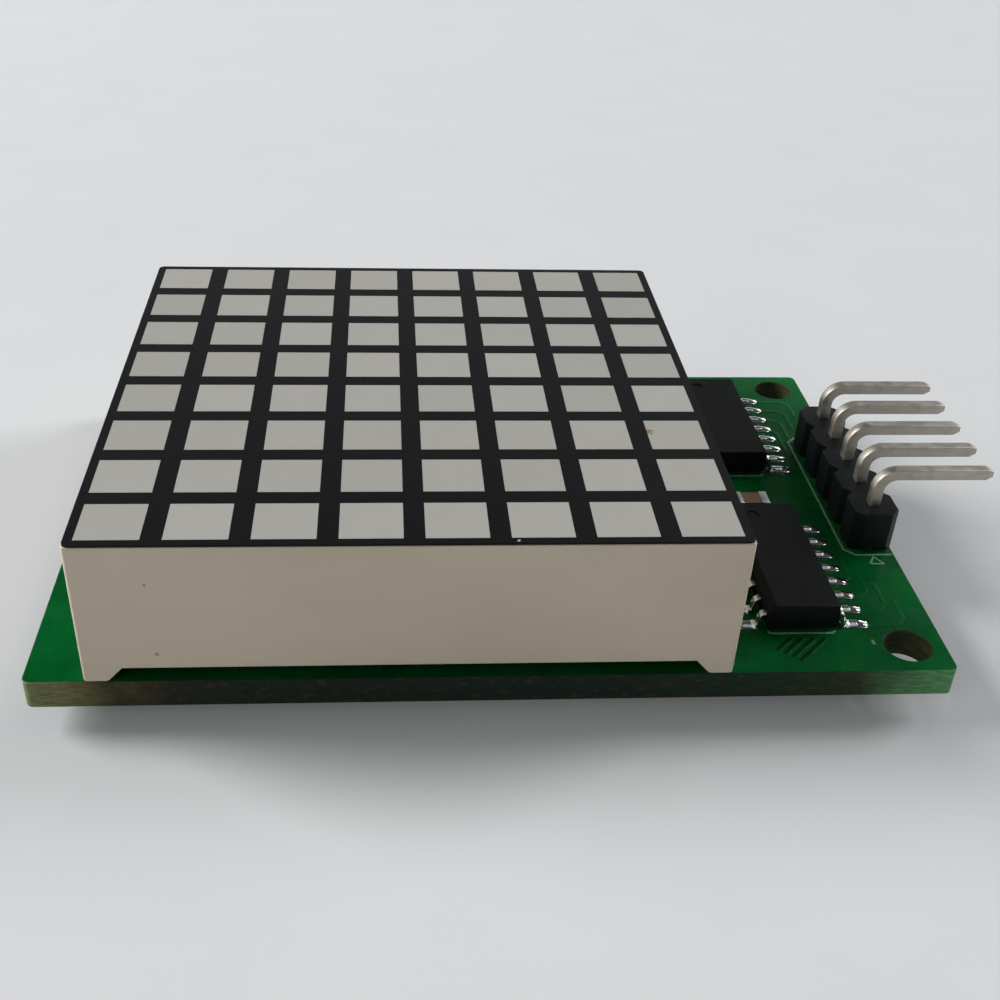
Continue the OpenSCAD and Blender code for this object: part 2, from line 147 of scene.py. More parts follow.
def screen(red, green, blue):
    """A colour given as a screen shows it, from 0 to 255, in the linear values of a socket."""
    shares = [value / 255 for value in (red, green, blue)]
    linear = [v / 12.92 if v <= 0.04045 else ((v + 0.055) / 1.055) ** 2.4 for v in shares]
    return (*linear, 1)


class Finish:
    """A procedural material in the making, laid out on the piece's own coordinates."""

    def __init__(self, name, **constants):
        self.material = bpy.data.materials.new(name)
        self.material.use_nodes = True
        self.tree = self.material.node_tree
        self.surface = self.tree.nodes["Principled BSDF"]
        self.place = self.node("ShaderNodeTexCoord").outputs["Object"]
        self.normal = None
        for name, value in constants.items():
            self.surface.inputs[name.replace("_", " ")].default_value = value

    def node(self, kind, plugs=None, **settings):
        return add(self.tree, kind, plugs, **settings)

    def stretched(self, x=1, y=1, z=1):
        """The piece's coordinates, with a pattern drawn out that many times along each axis."""
        return self.node("ShaderNodeMapping", {"Vector": self.place, "Scale": (1 / x, 1 / y, 1 / z)}).outputs[0]

    def axis(self, name):
        return self.node("ShaderNodeSeparateXYZ", {"Vector": self.place}).outputs[name]

    def noise(self, grain, detail=2.0, place=None, rough=0.5):
        plugs = {"Vector": place or self.place, "Scale": 1 / grain, "Detail": detail, "Roughness": rough}
        return self.node("ShaderNodeTexNoise", plugs).outputs["Fac"]

    def cells(self, grain, output="Distance"):
        plugs = {"Vector": self.place, "Scale": 1 / grain}
        return self.node("ShaderNodeTexVoronoi", plugs).outputs[output]

    def span(self, value, start, end, low=0.0, high=1.0):
        """Carries a value from the span between start and end to the one between low and high."""
        plugs = {"Value": value, "From Min": start, "From Max": end, "To Min": low, "To Max": high}
        return self.node("ShaderNodeMapRange", plugs).outputs["Result"]

    def sum(self, a, b, operation="ADD"):
        return self.node("ShaderNodeMath", {0: a, 1: b}, operation=operation).outputs[0]

    def mix(self, share, a, b):
        return self.node("ShaderNodeMix", {0: share, 6: a, 7: b}, data_type="RGBA").outputs[2]

    def ramp(self, value, *stops):
        """A colour that runs through stops of (position, colour)."""
        node = self.node("ShaderNodeValToRGB", {"Fac": value})
        points = node.color_ramp.elements
        while len(points) < len(stops):
            points.new(0.5)
        for point, (position, colour) in zip(points, stops):
            point.position = position
            point.color = colour
        return node.outputs["Color"]

    def attribute(self, name):
        return self.node("ShaderNodeAttribute", attribute_name=name).outputs["Fac"]

    def spot(self, centre, radius, ragged=0.4):
        """One inside a ragged spot about a point, and zero outside it."""
        offset = self.node("ShaderNodeVectorMath", {0: self.place, 1: centre}, operation="DISTANCE")
        edge = self.span(self.noise(radius * 0.8, 3), 0.3, 0.7, -ragged * radius, ragged * radius)
        reach = self.sum(offset.outputs["Value"], edge)
        return self.span(reach, radius, radius * 0.6)

    def bump(self, height, depth, strength=1.0):
        plugs = {"Height": height, "Distance": depth, "Strength": strength}
        if self.normal:
            plugs["Normal"] = self.normal
        self.normal = self.node("ShaderNodeBump", plugs).outputs["Normal"]

    def done(self, colour, roughness):
        links = {"Base Color": colour, "Roughness": roughness, "Normal": self.normal}
        for name, value in links.items():
            if isinstance(value, bpy.types.NodeSocket):
                self.tree.links.new(value, self.surface.inputs[name])
            elif value is not None:
                self.surface.inputs[name].default_value = value
        return self.material


# ---- materials ----------------------------------------------------------------------------------


def solder_mask(name, deep, bright):
    """Green varnish: even, glossy, a little deeper where it lies thick, with faint orange peel."""
    mask = Finish(name, Specular_IOR_Level=0.14)
    thickness = mask.noise(3.5 * MM, 4)
    weave = mask.noise(0.4 * MM, 2, mask.stretched(x=3))
    blended = mask.sum(thickness, mask.sum(weave, 0.25, "MULTIPLY"))
    mask.bump(mask.noise(0.5 * MM, 2), 0.004 * MM)
    mask.bump(mask.noise(0.06 * MM, 2), 0.0008 * MM)
    gloss = mask.span(mask.noise(1.6 * MM, 3), 0.3, 0.7, 0.2, 0.32)
    return mask.done(mask.mix(mask.span(blended, 0.4, 0.85), deep, bright), gloss)


def cut_laminate(name, *stops):
    """The cut edge of glass-fibre board: stacked plies and ragged fibre ends, coloured along X through the given
    stops, which on the long sides hold painted shade and painted light.
    """
    edge = Finish(name, Specular_IOR_Level=0.25)
    # A ramp along X through the stops: on the long sides it paints shade in the middle and light at the ends.
    along = edge.span(edge.axis("X"), BOARD_LOW.x, BOARD_HIGH.x)
    wander = edge.span(edge.noise(2.2 * MM, 3), 0.3, 0.7, -0.025, 0.025)
    body = edge.ramp(edge.sum(along, wander), *stops)
    fibres = edge.noise(0.1 * MM, 4, edge.stretched(x=7, y=7))
    flecks = edge.noise(0.35 * MM, 3, edge.stretched(x=2, y=2))
    colour = edge.mix(edge.span(fibres, 0.35, 0.7, 0, 0.5), body, screen(22, 32, 18))
    colour = edge.mix(edge.span(flecks, 0.55, 0.75, 0, 0.22), colour, screen(112, 98, 62))
    edge.bump(fibres, 0.012 * MM)
    edge.bump(flecks, 0.02 * MM)
    return edge.done(colour, edge.span(fibres, 0.3, 0.7, 0.5, 0.8))


def legend_ink():
    """White printed legend, thin enough for the green to show through in places."""
    ink = Finish("legend_ink", Specular_IOR_Level=0.3)
    wear = ink.noise(0.12 * MM, 4)
    ink.bump(wear, 0.004 * MM)
    colour = ink.mix(ink.span(wear, 0.35, 0.65), screen(92, 128, 108), screen(150, 172, 158))
    return ink.done(colour, 0.55)


def housing_plastic():
    """Warm white moulding, satin, with a very fine grain, faint flow marks and specks of dust."""
    plastic = Finish("housing_plastic", Specular_IOR_Level=0.35)
    flow = plastic.noise(7 * MM, 3, plastic.stretched(x=1.6, y=1.6, z=0.8))
    grain = plastic.noise(0.09 * MM, 3)
    colour = plastic.mix(plastic.span(flow, 0.3, 0.7), screen(219, 204, 182), screen(228, 214, 192))
    for x, z, radius in ((-12.45, 5.8, 0.09), (-12.3, 1.7, 0.11)):
        centre = (DISPLAY.x + x * MM, HOUSING_LOW.y, BOARD_TOP + z * MM)
        colour = plastic.mix(plastic.spot(centre, radius * MM), colour, screen(160, 146, 128))
    plastic.bump(grain, 0.0035 * MM)
    plastic.bump(flow, 0.02 * MM)
    return plastic.done(colour, plastic.span(grain, 0.3, 0.7, 0.48, 0.6))


def face_ink():
    """Black printed layer with a satin skin, a bluish cast and one tiny chip in its front rim."""
    ink = Finish("face_ink", Specular_IOR_Level=0.14)
    skin = ink.noise(0.12 * MM, 3)
    cast = ink.noise(5 * MM, 2)
    colour = ink.mix(ink.span(cast, 0.3, 0.7), screen(8, 8, 9), screen(12, 12, 13))
    chip = (DISPLAY.x + 1.2 * DOT_PITCH, FACE_LOW.y + 0.22 * MM, FACE_HIGH.z)
    colour = ink.mix(ink.spot(chip, 0.1 * MM), colour, screen(176, 174, 168))
    ink.bump(skin, 0.003 * MM)
    return ink.done(colour, ink.span(skin, 0.3, 0.7, 0.42, 0.56))


def dot_resin():
    """Milky grey casting, matt, a shade apart from dot to dot, with fine diffusing grain."""
    resin = Finish("dot_resin", Specular_IOR_Level=0.25)
    tone = resin.attribute("tone")
    cloud = resin.noise(1.3 * MM, 4)
    shade = resin.sum(resin.sum(tone, 0.6, "MULTIPLY"), resin.sum(cloud, 0.4, "MULTIPLY"))
    grain = resin.noise(0.05 * MM, 2)
    colour = resin.mix(shade, screen(162, 160, 153), screen(175, 173, 167))
    speck = (DISPLAY.x + 3.5 * DOT_PITCH - 0.46 * DOT_SIDE, DISPLAY.y - 1.42 * DOT_PITCH, RESIN_TOP)
    colour = resin.mix(resin.spot(speck, 0.26 * MM, 0.7), colour, screen(138, 116, 74))
    resin.bump(grain, 0.004 * MM)
    return resin.done(colour, resin.span(grain, 0.3, 0.7, 0.6, 0.75))


def casting_resin():
    """The same casting where it shows in the back cavity, smoother and a little yellower."""
    resin = Finish("casting_resin", Specular_IOR_Level=0.4)
    cloud = resin.noise(2 * MM, 4)
    resin.bump(resin.noise(0.9 * MM, 2), 0.02 * MM)
    colour = resin.mix(cloud, screen(168, 160, 138), screen(186, 180, 162))
    return resin.done(colour, resin.span(cloud, 0.3, 0.7, 0.2, 0.4))


def woven_laminate():
    """Bare glass-fibre board with its weave just showing."""
    board = Finish("woven_laminate", Specular_IOR_Level=0.35)
    warp = board.noise(0.16 * MM, 2, board.stretched(x=5))
    weft = board.noise(0.16 * MM, 2, board.stretched(y=5))
    weave = board.sum(warp, weft, "MAXIMUM")
    board.bump(weave, 0.01 * MM)
    colour = board.mix(board.span(weave, 0.4, 0.7), screen(178, 166, 118), screen(206, 196, 150))
    return board.done(colour, board.span(weave, 0.3, 0.7, 0.35, 0.55))


def metal(name, dark, light, polish, grain=0.1 * MM, pull=1, depth=0.003 * MM, tarnish=0.35):
    """Plated metal with a fine grain drawn out along X, cloudy tarnish and uneven polish."""
    plate = Finish(name, Metallic=1.0)
    scratches = plate.noise(grain, 3, plate.stretched(x=pull))
    cloud = plate.noise(0.7 * MM, 4)
    shade = plate.sum(plate.sum(cloud, 1 - tarnish, "MULTIPLY"), plate.sum(scratches, tarnish, "MULTIPLY"))
    plate.bump(scratches, depth)
    rough = plate.span(cloud, 0.3, 0.7, polish, polish * 1.5)
    return plate.done(plate.mix(plate.span(shade, 0.3, 0.7), dark, light), rough)


def black_nylon():
    """Header plastic: black with a bluish cast, satin, fine moulded grain."""
    nylon = Finish("black_nylon", Specular_IOR_Level=0.2)
    grain = nylon.noise(0.07 * MM, 3)
    nylon.bump(grain, 0.004 * MM)
    nylon.bump(nylon.noise(1.1 * MM, 2), 0.01 * MM)
    cast = nylon.noise(2 * MM, 2)
    colour = nylon.mix(nylon.span(cast, 0.3, 0.7), screen(8, 11, 14), screen(15, 19, 23))
    return nylon.done(colour, nylon.span(grain, 0.3, 0.7, 0.4, 0.55))


def moulding_compound():
    """Chip body: charcoal epoxy with a spark-eroded, matt, finely pitted skin."""
    epoxy = Finish("moulding_compound", Specular_IOR_Level=0.16)
    pits = epoxy.cells(0.06 * MM)
    cloud = epoxy.noise(1.2 * MM, 4)
    epoxy.bump(pits, 0.006 * MM)
    colour = epoxy.mix(epoxy.span(cloud, 0.3, 0.7), screen(8, 10, 11), screen(14, 16, 18))
    return epoxy.done(colour, epoxy.span(pits, 0, 0.6, 0.55, 0.72))


def capacitor_ceramic():
    """Sintered brown ceramic with a sugary grain."""
    ceramic = Finish("capacitor_ceramic", Specular_IOR_Level=0.4)
    grain = ceramic.noise(0.05 * MM, 4)
    ceramic.bump(grain, 0.004 * MM)
    colour = ceramic.mix(ceramic.span(grain, 0.3, 0.7), screen(104, 82, 62), screen(134, 108, 84))
    return ceramic.done(colour, ceramic.span(grain, 0.3, 0.7, 0.35, 0.5))


def resistor_glaze():
    """Black glaze over the film on top, and white alumina on the sides and below."""
    glaze = Finish("resistor_glaze", Specular_IOR_Level=0.5)
    facing = glaze.node("ShaderNodeNewGeometry").outputs["Normal"]
    up = glaze.node("ShaderNodeSeparateXYZ", {"Vector": facing}).outputs["Z"]
    ripple = glaze.noise(0.2 * MM, 2)
    glaze.bump(ripple, 0.006 * MM)
    black = glaze.mix(ripple, screen(14, 14, 15), screen(26, 26, 28))
    colour = glaze.mix(glaze.span(up, 0.4, 0.6), screen(206, 204, 198), black)
    return glaze.done(colour, glaze.span(ripple, 0.3, 0.7, 0.15, 0.3))


def led_crystal():
    """LED die: a dull yellow-grey crystal with a darker bond pad in its middle."""
    crystal = Finish("led_crystal", Specular_IOR_Level=0.6)
    grain = crystal.noise(0.03 * MM, 3)
    crystal.bump(grain, 0.002 * MM)
    colour = crystal.mix(grain, screen(150, 134, 84), screen(196, 178, 116))
    return crystal.done(colour, crystal.span(grain, 0.3, 0.7, 0.2, 0.4))


def pale_floor():
    """A plain pale sheet, lifted a little for the camera and for whatever mirrors or refracts it."""
    floor = Finish("pale_floor", Specular_IOR_Level=0.0, Emission_Color=FLOOR_COLOUR)
    shade = floor.noise(9 * MM, 4)
    rays = floor.node("ShaderNodeLightPath").outputs
    seen = floor.sum(rays["Is Camera Ray"], rays["Is Glossy Ray"])
    seen = floor.sum(seen, rays["Is Transmission Ray"])
    floor.tree.links.new(floor.sum(seen, FLOOR_LIFT, "MULTIPLY"), floor.surface.inputs["Emission Strength"])
    return floor.done(floor.mix(shade, FLOOR_COLOUR, FLOOR_SHADE), 0.9)


FLOOR_COLOUR = screen(206, 208, 210)
FLOOR_SHADE = screen(212, 213, 214)
FLOOR_LIFT = 0.12


def make_materials():
    tin_dark, tin_light = screen(150, 148, 142), screen(196, 194, 188)
    return {
        "mask": solder_mask("solder_mask", screen(0, 76, 31), screen(0, 99, 42)),
        "track": solder_mask("mask_over_track", screen(0, 80, 34), screen(0, 103, 48)),
        # Darker green than the mask, for the slanted tracks in front of the front chip: painted shade.
        "track_mask_painted_shade": solder_mask("track_mask_painted_shade", screen(0, 46, 17), screen(0, 66, 26)),
        # Long sides: the brown and olive tones are the laminate's own; the near-black middle is painted shade, and
        # the pale left end and bright green right end are painted light and reflection.
        "laminate": cut_laminate(
            "cut_laminate",
            (0.0, screen(152, 164, 112)), (0.05, screen(114, 108, 62)), (0.11, screen(56, 48, 26)),
            (0.18, screen(14, 22, 9)), (0.34, screen(3, 24, 10)), (0.62, screen(3, 30, 15)),
            (0.8, screen(18, 43, 24)), (0.88, screen(46, 58, 34)), (0.95, screen(92, 150, 96)),
            (1.0, screen(118, 184, 122))),
        "laminate_end": cut_laminate(
            "end_laminate", (0.0, screen(92, 98, 62)), (0.5, screen(70, 66, 42)), (1.0, screen(62, 70, 44))),
        "legend": legend_ink(),
        "housing": housing_plastic(),
        "face": face_ink(),
        "dot": dot_resin(),
        "casting": casting_resin(),
        "led_board": woven_laminate(),
        "crystal": led_crystal(),
        "gold": metal("gold_wire", screen(190, 140, 52), screen(232, 186, 92), 0.2),
        "pad": metal("tinned_pad", tin_dark, tin_light, 0.3, 0.15 * MM, 1, 0.008 * MM),
        "solder": metal("bright_solder", screen(190, 190, 188), screen(232, 232, 230), 0.08, 0.2 * MM, 1, 0.002 * MM),
        "lead": metal("bright_tin", screen(188, 188, 186), screen(228, 228, 226), 0.11, 0.06 * MM, 4, 0.0015 * MM),
        "display_pin": metal("display_pin_tin", tin_dark, tin_light, 0.26, 0.06 * MM),
        "header_pin": metal("dull_tin", screen(158, 152, 141), screen(196, 191, 181), 0.38, 0.07 * MM, 9),
        "nylon": black_nylon(),
        "epoxy": moulding_compound(),
        "ceramic": capacitor_ceramic(),
        "end_cap": metal("end_cap_tin", screen(176, 174, 170), screen(228, 226, 222), 0.34),
        "glaze": resistor_glaze(),
        "floor": pale_floor(),
    }


# ---- mesh helpers ---------------------------------------------------------------------------------

SHARP = math.radians(32)


def piece(name, mesh, materials, replaces=()):
    """Turns a mesh into a finished piece of the object that rides on its one body."""
    for material in materials:
        mesh.materials.append(material)
    mesh.polygons.foreach_set("use_smooth", [True] * len(mesh.polygons))
    mesh.set_sharp_from_angle(angle=SHARP)
    made = bpy.data.objects.new(name, mesh)
    bpy.context.scene.collection.objects.link(made)
    shading = made.modifiers.new("flat_faces_stay_flat", "WEIGHTED_NORMAL")
    shading.keep_sharp = True
    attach(made, "root")
    if replaces:
        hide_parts(*replaces)
    return made


def merged_copy(node):
    """A CAD node's mesh as one closed surface with its flat faces whole."""
    form = bmesh.new()
    form.from_mesh(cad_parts[node].data)
    bmesh.ops.remove_doubles(form, verts=form.verts, dist=0.0005 * MM)
    bmesh.ops.dissolve_limit(form, angle_limit=math.radians(0.5), verts=form.verts, edges=form.edges)
    return form


def soften(form, width, chosen=lambda edge: True, segments=2):
    """Rounds the chosen sharp edges by that width."""
    edges = [e for e in form.edges if len(e.link_faces) == 2 and e.calc_face_angle(0) > SHARP and chosen(e)]
    bmesh.ops.bevel(form, geom=edges, offset=width, segments=segments, profile=0.5, affect="EDGES",
                    clamp_overlap=True)


def to_mesh(form, name):
    mesh = bpy.data.meshes.new(name)
    form.to_mesh(mesh)
    form.free()
    return mesh


# ---- Geometry Nodes: rows of one thing, and things swept along a line --------------------------------

ROW_INPUTS = (
    ("Count", "NodeSocketInt", 1), ("Step", "NodeSocketVector", (0, 0, 0)),
    ("Rows", "NodeSocketInt", 1), ("Row Step", "NodeSocketVector", (0, 0, 0)),
    ("Row Turn", "NodeSocketFloat", 0.0), ("Middle", "NodeSocketVector", (0, 0, 0)),
    ("Size Spread", "NodeSocketFloat", 0.0), ("Turn Spread", "NodeSocketFloat", 0.0),
    ("Seed", "NodeSocketInt", 0), ("Material", "NodeSocketMaterial", None),
)
SWEEP_INPUTS = (
    ("Width", "NodeSocketFloat", 1 * MM), ("Thickness", "NodeSocketFloat", 1 * MM),
    ("Edge Radius", "NodeSocketFloat", 0.0), ("Bend Radius", "NodeSocketFloat", 0.0),
)
BEND_STEPS = 8
EDGE_STEPS = 3


def new_tree(name, inputs):
    tree = bpy.data.node_groups.new(name, "GeometryNodeTree")
    tree.interface.new_socket("Geometry", in_out="INPUT", socket_type="NodeSocketGeometry")
    tree.interface.new_socket("Geometry", in_out="OUTPUT", socket_type="NodeSocketGeometry")
    for label, kind, value in inputs:
        socket = tree.interface.new_socket(label, in_out="INPUT", socket_type=kind)
        if value is not None:
            socket.default_value = value
    return tree, tree.nodes.new("NodeGroupInput").outputs


def centred(tree, index, count, step):
    """The offset of item index in a row of count, centred on zero."""
    last = add(tree, "ShaderNodeMath", {0: count, 1: 1.0}, operation="SUBTRACT").outputs[0]
    half = add(tree, "ShaderNodeMath", {0: last, 1: 0.5}, operation="MULTIPLY").outputs[0]
    place = add(tree, "ShaderNodeMath", {0: index, 1: half}, operation="SUBTRACT").outputs[0]
    return add(tree, "ShaderNodeVectorMath", {0: step, 3: place}, operation="SCALE").outputs[0]


def spread_value(tree, given, spread, seed, middle):
    """A random number within spread of middle, one for each item."""
    low = add(tree, "ShaderNodeMath", {0: middle, 1: given[spread]}, operation="SUBTRACT").outputs[0]
    high = add(tree, "ShaderNodeMath", {0: middle, 1: given[spread]}, operation="ADD").outputs[0]
    return add(tree, "FunctionNodeRandomValue", {2: low, 3: high, "Seed": seed}).outputs[1]


def in_rows(tree, given, shape):
    """Sets the shape out in rows, each copy with its own tone, and ends the tree."""
    total = add(tree, "FunctionNodeIntegerMath", {0: given["Count"], 1: given["Rows"]}, operation="MULTIPLY")
    points = add(tree, "GeometryNodePoints", {"Count": total.outputs[0]}).outputs[0]
    index = tree.nodes.new("GeometryNodeInputIndex").outputs[0]
    within = add(tree, "FunctionNodeIntegerMath", {0: index, 1: given["Count"]}, operation="MODULO").outputs[0]
    row = add(tree, "FunctionNodeIntegerMath", {0: index, 1: given["Count"]}, operation="DIVIDE_FLOOR").outputs[0]
    along = centred(tree, within, given["Count"], given["Step"])
    across = centred(tree, row, given["Rows"], given["Row Step"])
    offset = add(tree, "ShaderNodeVectorMath", {0: along, 1: across}).outputs[0]
    place = add(tree, "ShaderNodeVectorMath", {0: offset, 1: given["Middle"]}).outputs[0]
    points = add(tree, "GeometryNodeSetPosition", {"Geometry": points, "Position": place}).outputs[0]
    row_turn = add(tree, "ShaderNodeMath", {0: row, 1: given["Row Turn"]}, operation="MULTIPLY").outputs[0]
    own_turn = spread_value(tree, given, "Turn Spread", given["Seed"], 0.0)
    turn = add(tree, "ShaderNodeMath", {0: row_turn, 1: own_turn}).outputs[0]
    rotation = add(tree, "ShaderNodeCombineXYZ", {"Z": turn}).outputs[0]
    next_seed = add(tree, "FunctionNodeIntegerMath", {0: given["Seed"], 1: 1}).outputs[0]
    scale = spread_value(tree, given, "Size Spread", next_seed, 1.0)
    copies = add(tree, "GeometryNodeInstanceOnPoints",
                 {"Points": points, "Instance": shape, "Rotation": rotation, "Scale": scale}).outputs[0]
    tone = add(tree, "FunctionNodeRandomValue", {2: 0.0, 3: 1.0, "Seed": given["Seed"]}).outputs[1]
    toned = add(tree, "GeometryNodeStoreNamedAttribute",
                {"Geometry": copies, "Name": "tone", "Value": tone}, domain="INSTANCE").outputs[0]
    whole = add(tree, "GeometryNodeRealizeInstances", {"Geometry": toned}).outputs[0]
    coloured = add(tree, "GeometryNodeSetMaterial", {"Geometry": whole, "Material": given["Material"]})
    tree.links.new(coloured.outputs[0], tree.nodes.new("NodeGroupOutput").inputs[0])


def make_row_tree():
    """Sets out copies of a modelled piece in one or more rows."""
    tree, given = new_tree("rows_of_a_piece", ROW_INPUTS)
    in_rows(tree, given, given["Geometry"])
    return tree


def make_sweep_tree():
    """Sweeps a bar with rounded edges along a drawn line, rounds its bends, and repeats it in rows.
    The line's own attribute, thickness_share, thins the bar towards a tip."""
    tree, given = new_tree("rows_of_a_swept_bar", SWEEP_INPUTS + ROW_INPUTS)
    share = add(tree, "GeometryNodeInputNamedAttribute", {"Name": "thickness_share"}).outputs[0]
    line = add(tree, "GeometryNodeMeshToCurve", {"Mesh": given["Geometry"]}).outputs[0]
    line = add(tree, "GeometryNodeFilletCurve", {"Curve": line, "Radius": given["Bend Radius"]})
    fillet_poly(line, BEND_STEPS)
    section = add(tree, "GeometryNodeCurvePrimitiveQuadrilateral",
                  {"Width": given["Width"], "Height": given["Thickness"]}).outputs[0]
    section = add(tree, "GeometryNodeFilletCurve", {"Curve": section, "Radius": given["Edge Radius"]})
    fillet_poly(section, EDGE_STEPS)
    bar = add(tree, "GeometryNodeCurveToMesh", {"Curve": line.outputs[0], "Scale": share,
              "Profile Curve": section.outputs[0], "Fill Caps": True}).outputs[0]
    in_rows(tree, given, bar)
    return tree


def fillet_poly(node, steps):
    node.mode = "POLY"
    node.inputs["Count"].default_value = steps
    node.inputs["Limit Radius"].default_value = True


def grown(name, tree, mesh, **sizes):
    """Runs a tree on a mesh with its named inputs set, and returns the plain mesh that results."""
    seed = bpy.data.objects.new(name, mesh)
    bpy.context.scene.collection.objects.link(seed)
    modifier = seed.modifiers.new("grow", "NODES")
    modifier.node_group = tree
    identifiers = {item.name: item.identifier for item in tree.interface.items_tree}
    for label, value in sizes.items():
        modifier[identifiers[label.replace("_", " ")]] = value
    graph = bpy.context.evaluated_depsgraph_get()
    result = bpy.data.meshes.new_from_object(seed.evaluated_get(graph))
    seed.modifiers.remove(modifier)
    bpy.data.objects.remove(seed)
    return result


def drawn_line(*lines):
    """Lines through points, for the sweep. Each point is (x, y, z) or (x, y, z, thickness share)."""
    mesh = bpy.data.meshes.new("line")
    points = [point for line in lines for point in line]
    edges = []
    start = 0
    for line in lines:
        edges += [(start + i, start + i + 1) for i in range(len(line) - 1)]
        start += len(line)
    mesh.from_pydata([point[:3] for point in points], edges, [])
    share = mesh.attributes.new("thickness_share", "FLOAT", "POINT")
    share.data.foreach_set("value", [point[3] if len(point) > 3 else 1.0 for point in points])
    return mesh


def outwards(mesh):
    """Makes every face point outwards on each closed shell."""
    form = bmesh.new()
    form.from_mesh(mesh)
    bmesh.ops.remove_doubles(form, verts=form.verts, dist=0.0002 * MM)
    bmesh.ops.recalc_face_normals(form, faces=form.faces)
    form.to_mesh(mesh)
    form.free()
    return mesh


# ---- circuit board ----------------------------------------------------------------------------------

BOARD_EDGE = 0.03 * MM
HOLE_INSET = 2 * MM
MOUNT_HOLES = [(BOARD_HIGH.x - HOLE_INSET, side * (BOARD_HIGH.y - HOLE_INSET)) for side in (-1, 1)]
LEGEND_WIDTH = 0.15 * MM
LEGEND_THICK = 0.012 * MM
TRACK_WIDTH = 0.26 * MM
TRACK_THICK = 0.03 * MM
VIA_R = 0.34 * MM


def on_board_rim(edge):
    """True for the edges around the board's outline and around its mounting holes."""
    def at_rim(point):
        at_end = min(point.x - BOARD_LOW.x, BOARD_HIGH.x - point.x) < 0.45 * MM
        at_side = BOARD_HIGH.y - abs(point.y) < 0.45 * MM
        return at_end or at_side or any(math.dist(point[:2], hole) < 1.4 * MM for hole in MOUNT_HOLES)
    level = abs(edge.verts[0].co.z - edge.verts[1].co.z) < 0.01 * MM
    return level and all(at_rim(vert.co) for vert in edge.verts)


def make_board(look):
    form = merged_copy("circuit_board")
    soften(form, BOARD_EDGE, on_board_rim, 1)
    for face in form.faces:
        on_side = BOARD_HIGH.y - abs(face.calc_center_median().y) < 0.3 * MM
        face.material_index = 0 if abs(face.normal.z) > 0.9 else 1 if on_side else 2
    materials = [look["mask"], look["laminate"], look["laminate_end"]]
    piece("board", to_mesh(form, "board"), materials, ["circuit_board"])


def chip_mark(chip):
    """The printed line across both ends of a chip, with its ends turned up at 45 degrees."""
    low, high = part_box(chip + "_chip_body")
    inset, turn = 0.12 * MM, 0.16 * MM
    lines = []
    for y, side in ((low.y - 0.14 * MM, 1), (high.y + 0.14 * MM, -1)):
        start, end = low.x + inset, high.x - inset
        lines.append([
            (start, y + side * turn, 0), (start + turn, y, 0), (end - turn, y, 0), (end, y + side * turn, 0)])
    return lines


def header_mark():
    """The printed outline around the header, open where the header meets the board's edge."""
    low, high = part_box("header_body")
    room, cut, end = 0.27 * MM, 0.55 * MM, BOARD_HIGH.x - 0.12 * MM
    left, front, rear = low.x - room, low.y - room, high.y + room
    return [[
        (end, front, 0), (left + cut, front, 0), (left, front + cut, 0),
        (left, rear - cut, 0), (left + cut, rear, 0), (end, rear, 0)]]


def pin_one_mark():
    """A plain triangle that points at the first header pin, and a dash beside the front hole."""
    x, y, half = HEADER.x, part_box("header_body")[0].y - 0.75 * MM, 0.4 * MM
    triangle = [(x - half, y - half, 0), (x, y + half * 0.7, 0), (x + half, y - half, 0), (x - half, y - half, 0)]
    dash_x, dash_y = MOUNT_HOLES[0][0] - 1.75 * MM, MOUNT_HOLES[0][1] + 0.3 * MM
    return [triangle, [(dash_x, dash_y - 0.18 * MM, 0), (dash_x, dash_y + 0.18 * MM, 0)]]


def make_legend(look, sweep):
    lines = chip_mark("front") + chip_mark("rear") + header_mark() + pin_one_mark()
    mesh = grown("legend", sweep, drawn_line(*lines), Width=LEGEND_WIDTH, Thickness=LEGEND_THICK,
                 Edge_Radius=0.004 * MM, Middle=(0, 0, BOARD_TOP + 0.3 * LEGEND_THICK), Material=look["legend"])
    piece("legend_print", outwards(mesh), [])


def bus_lines(side):
    """Tracks under the board from one row of display pins to the chips, side by side."""
    lines, ends = [], []
    turn = 0.6 * MM
    for i in range(DOTS):
        x = DISPLAY.x + (i - (DOTS - 1) / 2) * DISPLAY_PIN_PITCH
        start = side * DISPLAY_PIN_ROWS / 2
        level = side * (2.2 + 0.62 * i) * MM
        end = CHIPS["front"].x - (3.3 - 0.5 * (i % 2)) * MM
        lines.append([(x, start, 0), (x, level + side * turn, 0), (x + turn, level, 0), (end, level, 0)])
        ends.append((end, level))
    return lines, ends


def top_lines():
    """Tracks on top, out of the chips' outer pads towards the header."""
    lines = []
    pad_end = CHIPS["front"].x + LEAD_HALF_SPAN + LEAD_PAD_OUT
    for chip, side in (("front", 1), ("rear", -1)):
        for i in range(4):
            y = CHIPS[chip].y - side * (3.5 - i) * LEAD_PITCH
            x = pad_end + (2.1 - 0.6 * i) * MM
            turn = 0.5 * MM
            rise = y + side * (turn + (1.6 + 0.3 * i) * MM)
            lines.append([(pad_end - 0.2 * MM, y, 0), (x - turn, y, 0), (x, y + side * turn, 0), (x, rise, 0)])
    return lines


def corner_lines():
    """The slanted tracks on top in front of the front chip, which run in under the display."""
    lines = []
    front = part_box("front_chip_body")[0]
    for i in range(4):
        x, y = front.x + (1.0 + 0.62 * i) * MM, front.y - 0.75 * MM
        drop = (0.75 + 0.28 * i) * MM
        lines.append([(x + 0.2 * MM, y + 0.2 * MM, 0), (x - drop, y - drop, 0)])
    return lines


def via_form():
    """A mask-covered via: a low ring with a dimple in its middle."""
    thick = TRACK_THICK / 2
    return lathe([(0, -thick), (VIA_R, -thick), (VIA_R, 0.4 * thick), (0.85 * VIA_R, thick),
                  (0.5 * VIA_R, thick), (0.3 * VIA_R, -0.3 * thick), (0, -0.5 * thick)], 20)


